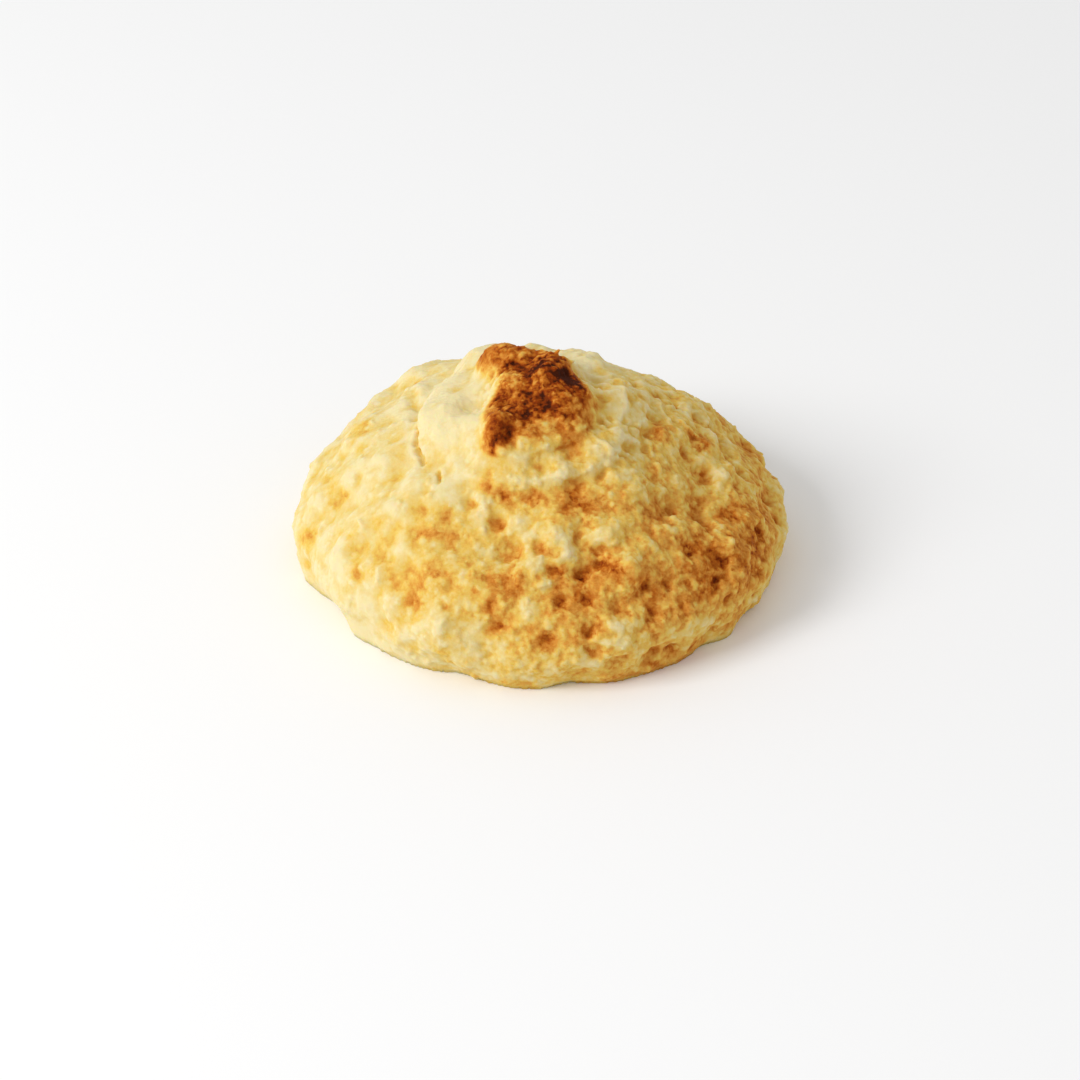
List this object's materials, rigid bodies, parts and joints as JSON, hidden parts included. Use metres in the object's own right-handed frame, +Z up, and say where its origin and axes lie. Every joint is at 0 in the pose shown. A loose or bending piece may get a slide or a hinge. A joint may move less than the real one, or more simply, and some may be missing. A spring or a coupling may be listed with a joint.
{
  "type": "coconut macaroon",
  "caption": "Baked coconut macaroon: a rough domed mound with a flat foot, a low piped coil on top and a browned peak.",
  "frame": {"origin": "on the flat foot, under the middle of the outline seen from above", "axes": "+Z up out of the foot, +X towards the side that baked darkest, -Y towards the front"},
  "size_m": [0.0698, 0.0686, 0.0331],
  "materials": {
    "baked_dough": "matte"
  },
  "bodies": {
    "root": {"coconut_macaroon": "baked_dough"}
  },
  "joints": []
}
